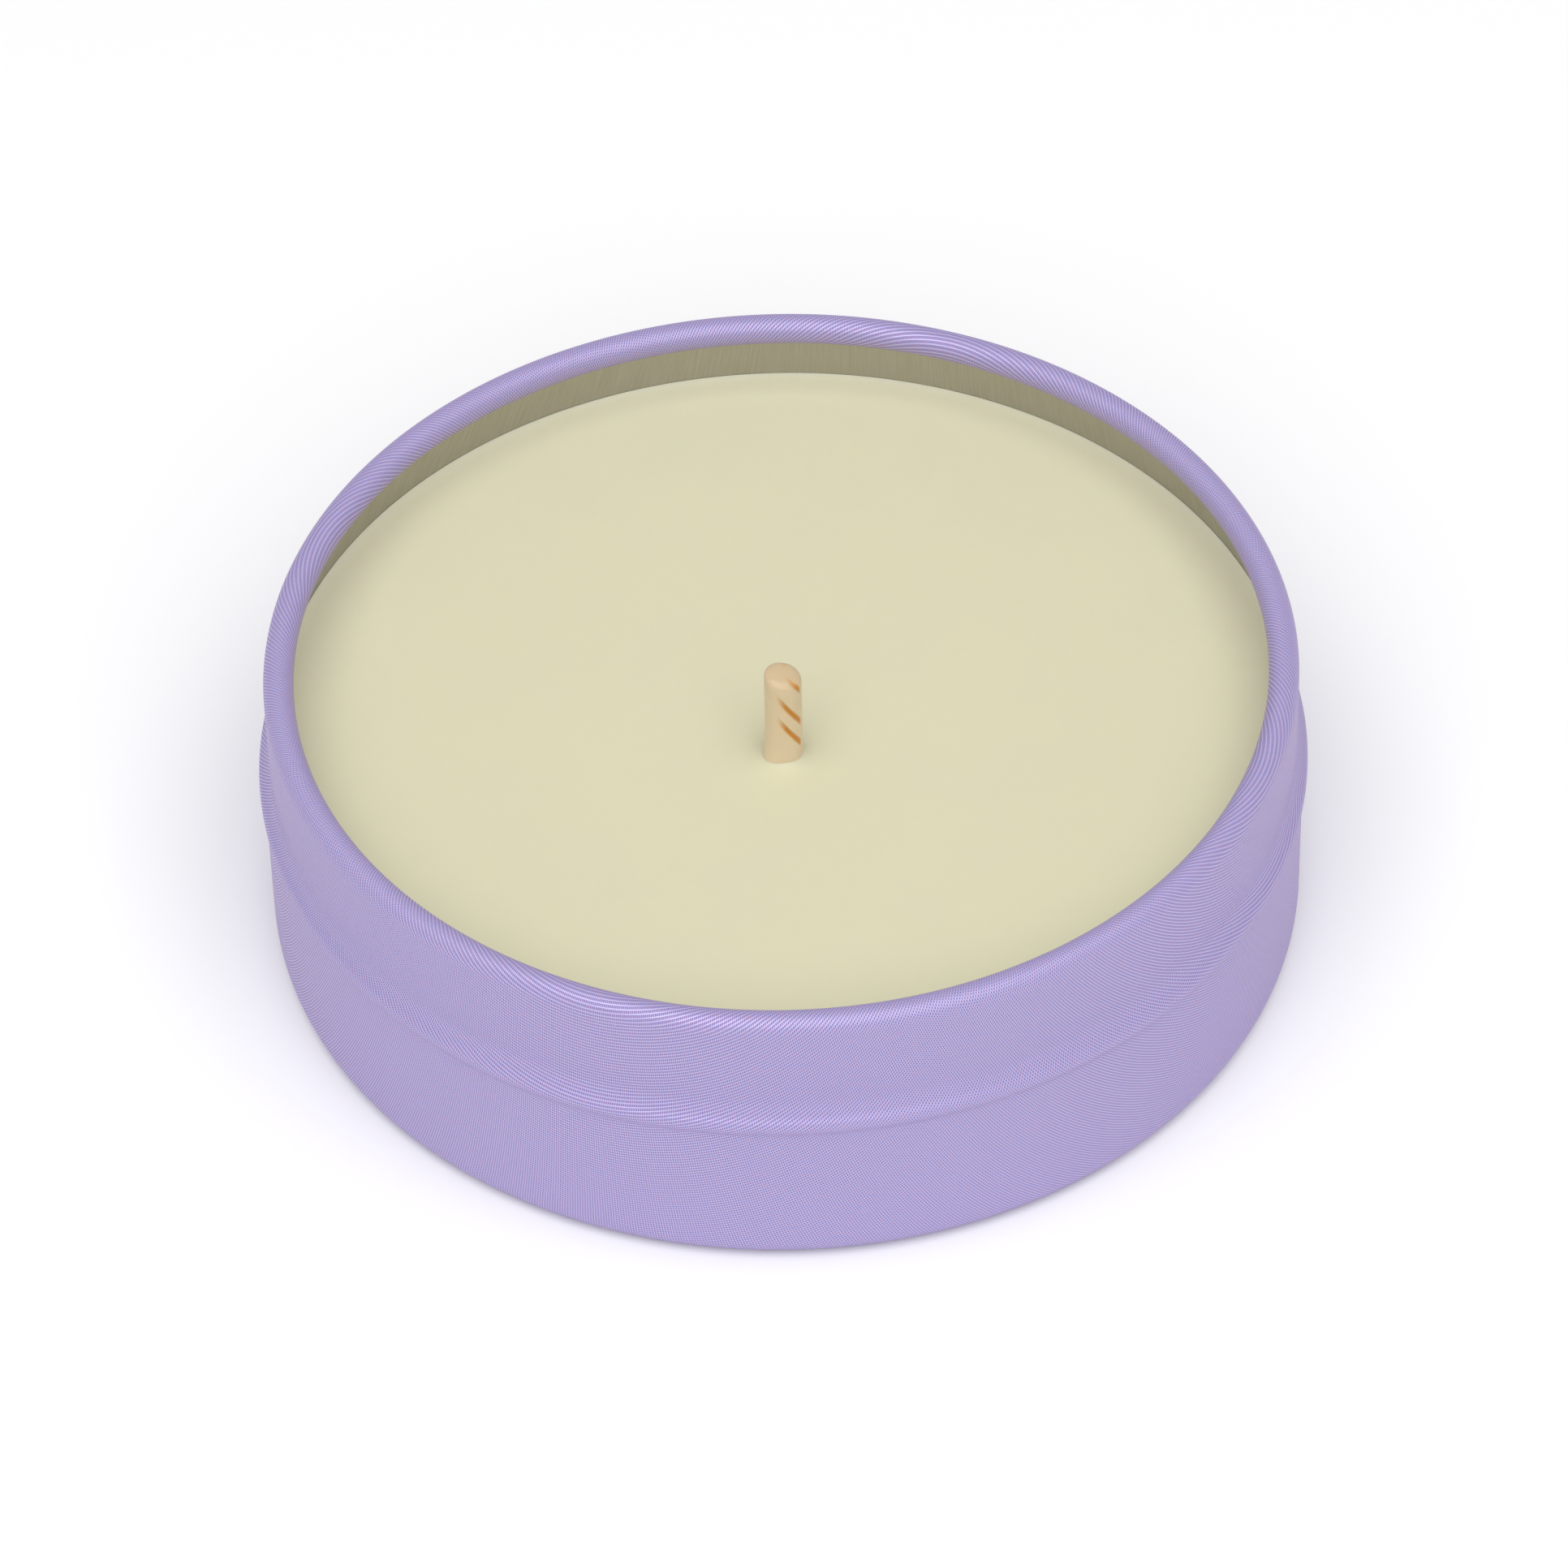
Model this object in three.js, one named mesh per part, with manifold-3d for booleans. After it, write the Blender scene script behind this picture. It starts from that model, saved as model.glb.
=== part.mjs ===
// A poured candle in a shallow round tin: a drawn tinplate tin, its wax, and a plaited
// cotton wick that stands in a stamped tab, stuck to the floor of the tin by a foam dot.
//
// Millimetres, +Z up. The origin is the centre of the face that the tin stands on.

import * as THREE from "three";
import { mergeVertices } from "three/addons/utils/BufferGeometryUtils.js";
import Module from "manifold-3d";

// Tin
const neckRadius = 37.5; // outside of the straight neck, which a slip lid goes over
const tinHeight = 23.4; // standing ring to the top of the rolled rim
const tinplate = 0.24; // sheet thickness
const curlRadius = 1.1; // outside radius of the rolled rim's tube
const curlSweep = 290; // degrees that the rim is rolled inwards
const neckDepth = 9.73; // top of the rim down to the crest of the bead
const beadStandout = 0.85; // crest of the bead beyond the neck
const beadShoulder = 2.18; // height of the bead's upper flank
const beadReturn = 1.6; // height of the bead's lower flank
const bodyStep = 0.53; // body wall beyond the neck
const heelRadius = 1.6; // outside radius of the bend between wall and floor
const ringWidth = 1.2; // flat of the ring that the tin stands on
const panelRecess = 0.6; // floor panel above the standing ring
const panelRamp = 1.5; // width of the ramp between ring and panel

// Wax
const headspace = 6.6; // top of the rim down to the wax
const waxClearance = 0.1; // gap between the wax and whatever it was poured against

// Wick, foot to tip
const wickOffsetX = 0.1; // wick axis from the tin's axis
const wickOffsetY = -3.9;
const wickStub = 8.4; // trimmed wick above the wax
const strandRadius = 0.45; // each of the plait's three strands
const strandClearance = 0.06; // gap between two strands where they pass
const plaitLay = 8.3; // pitch of the plait, in strand diameters
const plaitPhase = 0.32; // turn of the plait at the wick's foot, as a share of the pitch
const strandCount = 3;

// Wick tab and its sticker
const tabRadius = 7.5;
const tabSheet = 0.25; // sheet thickness
const tabHeight = 3; // underside to the top of the neck
const tabBend = 0.6; // inside radius of the bend from plate to neck
const tabRib = 0.3; // height of the pressed step round the neck
const tabRibRamp = 0.9; // width of that step's ramp
const tabRimWidth = 2.6; // flat of the plate outside the step
const tabClearance = 0.05; // gap between the neck and the wick
const stickerRadius = 9;
const stickerThickness = 0.8;
const seatClearance = 0.05; // gap between stacked pieces

// Facets
const turnSegments = 60; // round the tin and the wax
const smallTurnSegments = 36; // round the wick's own pieces
const bendStep = 30; // degrees in each facet of a bend
const strandSides = 8;
const strandStepsPerPitch = 16;
const passingSamples = 90; // places in one pitch at which two strands are compared
const throwRounds = 6; // rounds in which the plait's throw is settled
const overrun = 2; // how far a cutting shape runs past what it cuts

// Finishes
const lacquer = { color: "#b0a5d6", roughness: 0.45, metalness: 0.35 };
const wax = { color: "#dedab9", roughness: 0.55, metalness: 0 };
const cotton = { color: "#dcc3a4", roughness: 0.7, metalness: 0 };
const tabSteel = { color: "#b9bcc0", roughness: 0.35, metalness: 1 };
const foam = { color: "#eeeeea", roughness: 0.9, metalness: 0 };

const wasm = await Module();
wasm.setup();

// Places worked out from the sizes above
const floorTop = panelRecess + tinplate;
const fillLevel = tinHeight - headspace;
const stickerBottom = floorTop + seatClearance;
const stickerTop = stickerBottom + stickerThickness;
const tabBottom = stickerTop + seatClearance;
const wickFoot = tabBottom;
const wickTip = fillLevel + wickStub;


// One strand of a three-strand plait. Seen from above its axis runs round a figure of eight,
// (sin t, sin 2t) times the throw, once in each pitch.
const plaitPitch = plaitLay * 2 * strandRadius;

class StrandAxis extends THREE.Curve {
  constructor(number, throwLength) {
    super();
    this.turn = number / strandCount + plaitPhase;
    this.throwLength = throwLength;
  }

  at(z) {
    const t = 2 * Math.PI * ((z - wickFoot) / plaitPitch + this.turn);
    return new THREE.Vector3(Math.sin(t), Math.sin(2 * t), 0)
      .multiplyScalar(this.throwLength)
      .setZ(z);
  }

  getPoint(share, target = new THREE.Vector3()) {
    const z = THREE.MathUtils.lerp(wickFoot - overrun, wickTip + overrun, share);
    return target.copy(this.at(z));
  }
}

// How near the axes of two strands come to each other anywhere in a pitch.
function passingDistance(throwLength) {
  const [one, other] = [0, 1].map((number) => new StrandAxis(number, throwLength));
  const heights = Array.from(
    { length: passingSamples },
    (_, i) => wickFoot + (i * plaitPitch) / passingSamples,
  );
  const shifts = heights.map((z) => z - wickFoot - plaitPitch / 2);
  const distances = heights.map((z) =>
    Math.min(...shifts.map((shift) => one.at(z).distanceTo(other.at(z + shift)))),
  );
  return Math.min(...distances);
}

// The throw at which strands pass each other with just their clearance.
function settledThrow() {
  const needed = 2 * strandRadius + strandClearance;
  let throwLength = needed;
  for (let round = 0; round < throwRounds; round++) {
    throwLength *= needed / passingDistance(throwLength);
  }
  return throwLength;
}

// A figure of eight's farthest points are 5/4 of its throw from its middle.
const plaitThrow = settledThrow();
const wickReach = (5 / 4) * plaitThrow + strandRadius;
const tabBore = wickReach + tabClearance;

// A sheet-metal section drawn as a walk: straight runs and bends, each tangent to the last.
// Every point keeps the unit normal on the left of the walk, so that a parallel face is the
// same walk moved along the normals.
class SheetWalk {
  constructor(start, headingDegrees) {
    this.place = start.clone();
    this.heading = THREE.MathUtils.degToRad(headingDegrees);
    this.stops = [];
    this.mark();
  }

  direction() {
    return new THREE.Vector2(Math.cos(this.heading), Math.sin(this.heading));
  }

  left() {
    return new THREE.Vector2(-Math.sin(this.heading), Math.cos(this.heading));
  }

  mark() {
    this.stops.push({ place: this.place.clone(), left: this.left() });
  }

  run(length) {
    this.place.addScaledVector(this.direction(), length);
    this.mark();
    return this;
  }

  // A bend of the given radius, to the left for a positive sweep and to the right for a negative.
  bend(radius, sweepDegrees) {
    const sweep = THREE.MathUtils.degToRad(sweepDegrees);
    const steps = Math.ceil(Math.abs(sweepDegrees) / bendStep);
    const side = Math.sign(sweepDegrees) * radius;
    const centre = this.place.clone().addScaledVector(this.left(), side);
    for (let step = 0; step < steps; step++) {
      this.heading += sweep / steps;
      this.place = centre.clone().addScaledVector(this.left(), -side);
      this.mark();
    }
    return this;
  }

  // Two equal bends, one each way, that move the walk sideways by shift over a length of run.
  jog(run, shift) {
    const radius = (run ** 2 + shift ** 2) / (4 * Math.abs(shift));
    const sweep = THREE.MathUtils.radToDeg(2 * Math.atan2(shift, run));
    return this.bend(radius, sweep).bend(radius, -sweep);
  }

  face(offset = 0) {
    return this.stops.map((stop) => stop.place.clone().addScaledVector(stop.left, offset));
  }
}

// The tin's outside face, from the middle of the floor to the end of the rolled rim.
function tinWalk() {
  const bodyRadius = neckRadius + bodyStep;
  const panelRadius = bodyRadius - heelRadius - ringWidth - panelRamp;
  const beadCrest = tinHeight - neckDepth;
  const bodyHeight = beadCrest - beadReturn - heelRadius;
  const neckHeight = neckDepth - beadShoulder - curlRadius;
  return new SheetWalk(new THREE.Vector2(0, panelRecess), 0)
    .run(panelRadius)
    .jog(panelRamp, -panelRecess)
    .run(ringWidth)
    .bend(heelRadius, 90)
    .run(bodyHeight)
    .jog(beadReturn, bodyStep - beadStandout)
    .jog(beadShoulder, beadStandout)
    .run(neckHeight)
    .bend(curlRadius, 90)
    .bend(curlRadius, curlSweep - 90);
}

// Turns a closed half section, given as (radius, height), round the Z axis.
function turned(section, segments) {
  return new THREE.LatheGeometry(section, segments).rotateX(Math.PI / 2);
}

function column(radius, bottom, top) {
  return [
    new THREE.Vector2(0, bottom),
    new THREE.Vector2(radius, bottom),
    new THREE.Vector2(radius, top),
    new THREE.Vector2(0, top),
  ];
}

function toSolid(geometry) {
  const bare = new THREE.BufferGeometry();
  bare.setAttribute("position", geometry.getAttribute("position"));
  bare.setIndex(geometry.index);
  const merged = mergeVertices(bare, 1e-3);
  const vertProperties = new Float32Array(merged.getAttribute("position").array);
  const triVerts = new Uint32Array(merged.index.array);
  return new wasm.Manifold(new wasm.Mesh({ numProp: 3, vertProperties, triVerts }));
}

function toGeometry(solid) {
  const mesh = solid.getMesh();
  const geometry = new THREE.BufferGeometry();
  geometry.setAttribute("position", new THREE.BufferAttribute(mesh.vertProperties, 3));
  geometry.setIndex(new THREE.BufferAttribute(mesh.triVerts, 1));
  geometry.computeVertexNormals();
  return geometry;
}

function piece(name, geometry, finish) {
  const mesh = new THREE.Mesh(geometry, new THREE.MeshStandardMaterial(finish));
  mesh.name = name;
  return mesh;
}

function tinBody() {
  const walk = tinWalk();
  const section = [...walk.face(), ...walk.face(tinplate).reverse()];
  return piece("tin_body", turned(section, turnSegments), lacquer);
}

// The part of a face below a level, ended where the face crosses that level.
function faceUpTo(face, level) {
  const over = face.findIndex((point) => point.y >= level);
  const below = face[over - 1];
  const above = face[over];
  const share = (level - below.y) / (above.y - below.y);
  return [...face.slice(0, over), below.clone().lerp(above, share)];
}

// The tab's underside and bore, from the rim of the plate in to the neck and up it.
function tabWalk() {
  const plate = tabRadius - tabBore - tabRimWidth - tabRibRamp - tabBend;
  return new SheetWalk(new THREE.Vector2(tabRadius, tabBottom), 180)
    .run(tabRimWidth)
    .jog(tabRibRamp, -tabRib)
    .run(plate)
    .bend(tabBend, -90)
    .run(tabHeight - tabRib - tabBend);
}

// What the wax was poured round, on the wick's own axis: sticker, tab and wick.
function wickPocket() {
  const stickerPocket = stickerRadius + waxClearance;
  const tabPocket = tabRadius + waxClearance;
  const wickPassage = wickReach + waxClearance;
  const overTab = tabWalk().face(-tabSheet - waxClearance);
  const tabTop = tabBottom + tabHeight + waxClearance;
  const section = [
    new THREE.Vector2(0, -overrun),
    new THREE.Vector2(stickerPocket, -overrun),
    new THREE.Vector2(stickerPocket, stickerTop + waxClearance),
    new THREE.Vector2(tabPocket, stickerTop + waxClearance),
    new THREE.Vector2(tabPocket, overTab[0].y),
    ...overTab,
    new THREE.Vector2(overTab.at(-1).x, tabTop),
    new THREE.Vector2(wickPassage, tabTop),
    new THREE.Vector2(wickPassage, fillLevel + overrun),
    new THREE.Vector2(0, fillLevel + overrun),
  ];
  return turned(section, smallTurnSegments).translate(wickOffsetX, wickOffsetY, 0);
}

function waxFill() {
  const against = tinWalk().face(tinplate + waxClearance);
  const section = [...faceUpTo(against, fillLevel), new THREE.Vector2(0, fillLevel)];
  const poured = toSolid(turned(section, turnSegments));
  const geometry = toGeometry(poured.subtract(toSolid(wickPocket())));
  return piece("wax_fill", geometry, wax);
}

function roundShape(radius, sides) {
  const corners = Array.from({ length: sides }, (_, i) => {
    const angle = (2 * Math.PI * i) / sides;
    return new THREE.Vector2(radius * Math.cos(angle), radius * Math.sin(angle));
  });
  return new THREE.Shape(corners);
}

// A strand is carried past both ends of the wick and cut off flat there.
function wickStrand(number) {
  const runLength = wickTip - wickFoot + 2 * overrun;
  const strand = new THREE.ExtrudeGeometry(roundShape(strandRadius, strandSides), {
    steps: Math.ceil((strandStepsPerPitch * runLength) / plaitPitch),
    extrudePath: new StrandAxis(number, plaitThrow),
  });
  const wickLength = column(wickReach + overrun, wickFoot, wickTip);
  const cut = toSolid(strand).intersect(toSolid(turned(wickLength, smallTurnSegments)));
  return piece(`wick_strand_${number + 1}`, toGeometry(cut), cotton);
}

function wickTab() {
  const walk = tabWalk();
  const section = [...walk.face(-tabSheet), ...walk.face().reverse()];
  section.push(section[0].clone());
  return piece("wick_tab", turned(section, smallTurnSegments), tabSteel);
}

function wickSticker() {
  const section = column(stickerRadius, stickerBottom, stickerTop);
  return piece("wick_sticker", turned(section, smallTurnSegments), foam);
}

function wickAssembly() {
  const assembly = new THREE.Group();
  assembly.position.set(wickOffsetX, wickOffsetY, 0);
  assembly.add(wickSticker(), wickTab());
  for (let number = 0; number < strandCount; number++) {
    assembly.add(wickStrand(number));
  }
  return assembly;
}

const group = new THREE.Group();
group.add(tinBody(), waxFill(), wickAssembly());

export default group;
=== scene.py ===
"""A poured candle in a shallow lavender tin: the drawn tin, its wax and its plaited wick.

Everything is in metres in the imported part's own frame, +Z up, with the origin in the
middle of the face that the tin stands on. Run as a script, it makes every piece once.
"""

import bpy
import numpy as np
from bpy.props import FloatProperty, FloatVectorProperty, PointerProperty
from mathutils import Matrix, Vector


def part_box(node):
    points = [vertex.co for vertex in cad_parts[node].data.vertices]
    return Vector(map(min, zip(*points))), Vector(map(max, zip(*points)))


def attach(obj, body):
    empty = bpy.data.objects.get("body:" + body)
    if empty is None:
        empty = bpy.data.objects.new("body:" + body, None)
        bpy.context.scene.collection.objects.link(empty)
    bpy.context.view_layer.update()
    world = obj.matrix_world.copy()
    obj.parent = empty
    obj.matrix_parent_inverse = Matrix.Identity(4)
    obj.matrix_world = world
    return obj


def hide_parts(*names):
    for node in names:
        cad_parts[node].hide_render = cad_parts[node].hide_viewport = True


bl_info = {
    "name": "Candle Tin",
    "version": (1, 0, 0),
    "blender": (4, 5, 0),
    "location": "3D View > Sidebar > Candle",
    "description": "Builds a poured candle in a drawn tin round its packed CAD frame",
    "category": "Add Mesh",
}

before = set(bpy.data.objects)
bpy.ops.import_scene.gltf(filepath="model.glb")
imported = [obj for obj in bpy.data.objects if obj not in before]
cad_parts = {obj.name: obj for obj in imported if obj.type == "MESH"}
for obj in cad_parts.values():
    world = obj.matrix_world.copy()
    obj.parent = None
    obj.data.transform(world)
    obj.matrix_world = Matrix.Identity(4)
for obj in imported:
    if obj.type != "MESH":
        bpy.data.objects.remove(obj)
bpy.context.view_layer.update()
TIN_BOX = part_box("tin_body")
WAX_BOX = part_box("wax_fill")
TAB_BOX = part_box("wick_tab")
STICKER_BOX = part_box("wick_sticker")
WICK_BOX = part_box("wick_strand_1")

BODY = "root"
MM = 0.001
TAU = 2 * np.pi
RIGHT_ANGLE = np.pi / 2

# The wick, its tab and its sticker share one upright axis.
WICK_AXIS = np.array([TAB_BOX[0].x + TAB_BOX[1].x, TAB_BOX[0].y + TAB_BOX[1].y]) / 2
TIN_AXIS = np.zeros(2)

STRAND_COUNT = 3

# How far above the wax each seam between strands starts, in millimetres, on the plait's two
# faces. A plait is never laid quite evenly.
SEAM_STARTS = ((1.69, 3.83, 6.97), (0.4, 2.9, 5.5))
# A seam's two fades and its far end, as shares of seam_span.
SEAM_FADE_IN = 0.15
SEAM_FADE_OUT = 0.45
SEAM_END = 1.05

# The UV map and the values at vertices that materials read.
SHEET_MAP = "flat_sheet"
SEAM = "seam"
# The values for the rounded tip, where the cotton is painted darker: painted shade on the tip that faces
# the key light.
TIP_SHADE = "tip"
# How near the tin each place of the wax is, where it is painted paler: painted light against the wall's
# shade.
PAINTED_WALL_LIGHT = "edge"

# Vertices in one ring of each kind of piece.
ROUND_TIN = 288
ROUND_FOOT = 96
ROUND_STRAND = 28
ROUND_WICK = 192

# Rings over the wax's top, up a strand, up the coat's wall and up its rounded tip.
WAX_RINGS = 130
STRAND_RINGS = 420
COAT_RINGS = 230
DOME_RINGS = 38

# Below 1, rings over the wax's top crowd more at the wick than at the tin.
RING_CROWDING = 0.75
SHARP_ANGLE = np.radians(35)
CLIP_START = 10 * MM


# ---------------------------------------------------------------- colours and nodes


def linear(colour):
    """An sRGB colour such as "#b0a5d6" as the linear RGBA that shaders take."""
    share = np.array([int(colour[i : i + 2], 16) for i in (1, 3, 5)]) / 255
    low = share / 12.92
    high = ((share + 0.055) / 1.055) ** 2.4
    return (*np.where(share <= 0.04045, low, high).tolist(), 1.0)


def add_node(tree, kind, settings=None, **inputs):
    """Adds a node to tree. Each input is a value, or the output socket that it is linked to.

    settings are the node's own properties. An input's name has _ for a space, and in_0,
    in_1 and so on name an input by its place.
    """
    made = tree.nodes.new(kind)
    for name, value in (settings or {}).items():
        setattr(made, name, value)
    for name, value in inputs.items():
        place = name.removeprefix("in_")
        socket = made.inputs[int(place) if place.isdigit() else name.replace("_", " ")]
        if isinstance(value, bpy.types.NodeSocket):
            tree.links.new(value, socket)
        else:
            socket.default_value = value
    return made


def new_material(name):
    """An empty node material, and its tree."""
    made = bpy.data.materials.new(name)
    made.use_nodes = True
    made.node_tree.nodes.clear()
    return made, made.node_tree


def finish_material(tree, surface):
    """Links a shader to the material's output."""
    tree.links.new(surface, add_node(tree, "ShaderNodeOutputMaterial").inputs["Surface"])


def lacquered_tinplate(tin):
    """Tinplate roller-coated in lavender, then drawn to shape.

    A fine screen of crossed lines was laid on with the flat sheet, so the drawing has
    stretched it up the wall and squeezed it round the tin. It shows as a satin sheen that
    breaks into bright threads where the rim and the bead catch the light. Between the lines
    the coat is unevenly thick, which mottles it from blue to pink.
    """
    made, tree = new_material("lavender_lacquered_tinplate_roller_coated")
    sheet = add_node(tree, "ShaderNodeUVMap", {"uv_map": SHEET_MAP})
    turned = add_node(
        tree,
        "ShaderNodeMapping",
        Vector=sheet.outputs["UV"],
        Rotation=(0, 0, -tin.screen_angle),
    )
    across = add_node(tree, "ShaderNodeSeparateXYZ", Vector=turned.outputs["Vector"])
    threads = []
    for axis in ("X", "Y"):
        phase = add_node(
            tree,
            "ShaderNodeMath",
            {"operation": "MULTIPLY"},
            in_0=across.outputs[axis],
            in_1=TAU / tin.screen_pitch,
        )
        wave = add_node(tree, "ShaderNodeMath", {"operation": "COSINE"}, in_0=phase.outputs[0])
        threads.append(wave.outputs[0])
    crossed = add_node(
        tree, "ShaderNodeMath", {"operation": "MAXIMUM"}, in_0=threads[0], in_1=threads[1]
    )
    height = add_node(
        tree,
        "ShaderNodeMapRange",
        {"interpolation_type": "SMOOTHSTEP"},
        Value=crossed.outputs[0],
        From_Min=-0.1,
        From_Max=1.0,
    )
    grain = add_node(
        tree,
        "ShaderNodeTexNoise",
        Vector=sheet.outputs["UV"],
        Scale=1 / tin.grain,
        Detail=2.0,
        Roughness=0.7,
    )
    mottled = add_node(
        tree, "ShaderNodeMapRange", Value=grain.outputs[0], From_Min=0.35, From_Max=0.65
    )
    ground = add_node(
        tree,
        "ShaderNodeMix",
        {"data_type": "RGBA"},
        in_0=mottled.outputs[0],
        in_6=tin.lacquer,
        in_7=tin.blush,
    )
    base = add_node(
        tree,
        "ShaderNodeMix",
        {"data_type": "RGBA"},
        in_0=height.outputs[0],
        in_6=ground.outputs[2],
        in_7=tin.thread,
    )
    metal = add_node(
        tree, "ShaderNodeMapRange", Value=height.outputs[0], To_Min=0.0, To_Max=0.28
    )
    rough = add_node(
        tree, "ShaderNodeMapRange", Value=height.outputs[0], To_Min=0.65, To_Max=0.34
    )
    relief = add_node(
        tree,
        "ShaderNodeBump",
        Strength=1.0,
        Distance=tin.screen_relief,
        Height=height.outputs[0],
    )
    satin = add_node(
        tree,
        "ShaderNodeBsdfPrincipled",
        Base_Color=base.outputs[2],
        Metallic=metal.outputs[0],
        Roughness=rough.outputs[0],
        Specular_IOR_Level=0.8,
        Specular_Tint=tin.glint,
        Normal=relief.outputs[0],
    )
    finish_material(tree, satin.outputs[0])
    return made


def bare_tinplate(tin):
    """Bare cold-rolled tinplate, the sheet's unprinted face.

    Rolling leaves fine scratches along the sheet, which drawing stretches into streaks up
    the wall. The face mirrors the wax in a dull khaki.
    """
    made, tree = new_material("bare_tinplate_cold_rolled")
    sheet = add_node(tree, "ShaderNodeUVMap", {"uv_map": SHEET_MAP})
    along = add_node(
        tree,
        "ShaderNodeMapping",
        Vector=sheet.outputs["UV"],
        Rotation=(0, 0, -tin.rolling_angle),
    )
    stretched = add_node(
        tree,
        "ShaderNodeMapping",
        Vector=along.outputs["Vector"],
        Scale=(1 / tin.streak_length, 1 / tin.streak_width, 1),
    )
    grain = add_node(
        tree,
        "ShaderNodeTexNoise",
        Vector=stretched.outputs["Vector"],
        Scale=1.0,
        Detail=3.0,
        Roughness=0.6,
    )
    base = add_node(
        tree,
        "ShaderNodeMix",
        {"data_type": "RGBA"},
        in_0=grain.outputs[0],
        in_6=tin.bare_dark,
        in_7=tin.bare_light,
    )
    rough = add_node(
        tree, "ShaderNodeMapRange", Value=grain.outputs[0], To_Min=0.3, To_Max=0.5
    )
    relief = add_node(
        tree,
        "ShaderNodeBump",
        Strength=0.6,
        Distance=0.004 * MM,
        Height=grain.outputs[0],
    )
    metal = add_node(
        tree,
        "ShaderNodeBsdfPrincipled",
        Base_Color=base.outputs[2],
        Metallic=1.0,
        Roughness=rough.outputs[0],
        Normal=relief.outputs[0],
    )
    finish_material(tree, metal.outputs[0])
    return made


def poured_wax(wax):
    """Blended vegetable wax, poured hot and left to set.

    Light goes a little way in and comes back warm, so edges look soft. The skin that set
    first is smooth, with a faint cloudiness a few millimetres across and a fine orange peel.
    Near the tin the wax is painted paler, painted light that offsets the shade of the tin's wall.
    """
    made, tree = new_material("cream_candle_wax_poured")
    place = add_node(tree, "ShaderNodeTexCoord").outputs["Object"]
    cloud = add_node(
        tree, "ShaderNodeTexNoise", Vector=place, Scale=1 / wax.cloud_size, Detail=4.0, Roughness=0.6
    )
    clouded = add_node(
        tree,
        "ShaderNodeMix",
        {"data_type": "RGBA"},
        in_0=cloud.outputs[0],
        in_6=wax.cloud,
        in_7=wax.cream,
    )
    # Painted light: the wax is painted paler near the tin, to offset the shade that the tin's wall casts
    # on it.
    edge = add_node(tree, "ShaderNodeAttribute", {"attribute_name": PAINTED_WALL_LIGHT})
    base = add_node(
        tree,
        "ShaderNodeMix",
        {"data_type": "RGBA"},
        in_0=edge.outputs["Fac"],
        in_6=clouded.outputs[2],
        in_7=wax.painted_wall_light,
    )
    peel = add_node(
        tree, "ShaderNodeTexNoise", Vector=place, Scale=1 / wax.peel_size, Detail=2.0
    )
    relief = add_node(
        tree,
        "ShaderNodeBump",
        Strength=0.5,
        Distance=0.008 * MM,
        Height=peel.outputs[0],
    )
    set_wax = add_node(
        tree,
        "ShaderNodeBsdfPrincipled",
        Base_Color=base.outputs[2],
        Roughness=0.5,
        IOR=1.44,
        Subsurface_Weight=0.25,
        Subsurface_Radius=(1.0, 0.8, 0.55),
        Subsurface_Scale=1.0 * MM,
        Normal=relief.outputs[0],
    )
    finish_material(tree, set_wax.outputs[0])
    return made


def primed_cotton(wick):
    """Plaited cotton, primed by a dip in hot wax.

    The wax makes the yarn pale and a little glossy on the outside, and the seams between the strands are
    coloured a deep amber. The rounded tip is painted darker, a painted shade on the tip that faces the
    key light.
    """
    made, tree = new_material("cotton_wick_plaited_and_wax_primed")
    place = add_node(tree, "ShaderNodeTexCoord").outputs["Object"]
    seam = add_node(tree, "ShaderNodeAttribute", {"attribute_name": SEAM})
    blotch = add_node(
        tree, "ShaderNodeTexNoise", Vector=place, Scale=1 / wick.blotch_size, Detail=3.0
    )
    skin = add_node(
        tree,
        "ShaderNodeMix",
        {"data_type": "RGBA"},
        in_0=blotch.outputs[0],
        in_6=wick.cotton_shade,
        in_7=wick.cotton,
    )
    # Painted shade: the rounded tip, which faces the key light, is painted darker.
    tip = add_node(tree, "ShaderNodeAttribute", {"attribute_name": TIP_SHADE})
    painted_tip_shade = add_node(
        tree,
        "ShaderNodeMix",
        {"data_type": "RGBA"},
        in_0=tip.outputs["Fac"],
        in_6=skin.outputs[2],
        in_7=wick.painted_tip_shade,
    )
    # The seams between the strands are coloured a deep amber, as strongly as each seam is deep.
    base = add_node(
        tree,
        "ShaderNodeMix",
        {"data_type": "RGBA"},
        in_0=seam.outputs["Fac"],
        in_6=painted_tip_shade.outputs[2],
        in_7=wick.seam,
    )
    relief = add_node(
        tree,
        "ShaderNodeBump",
        Strength=0.6,
        Distance=0.03 * MM,
        Height=blotch.outputs[0],
    )
    waxed = add_node(
        tree,
        "ShaderNodeBsdfPrincipled",
        Base_Color=base.outputs[2],
        Roughness=0.2,
        IOR=1.44,
        Subsurface_Weight=0.3,
        Subsurface_Radius=(1.0, 0.6, 0.35),
        Subsurface_Scale=0.6 * MM,
        Normal=relief.outputs[0],
    )
    finish_material(tree, waxed.outputs[0])
    return made


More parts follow.
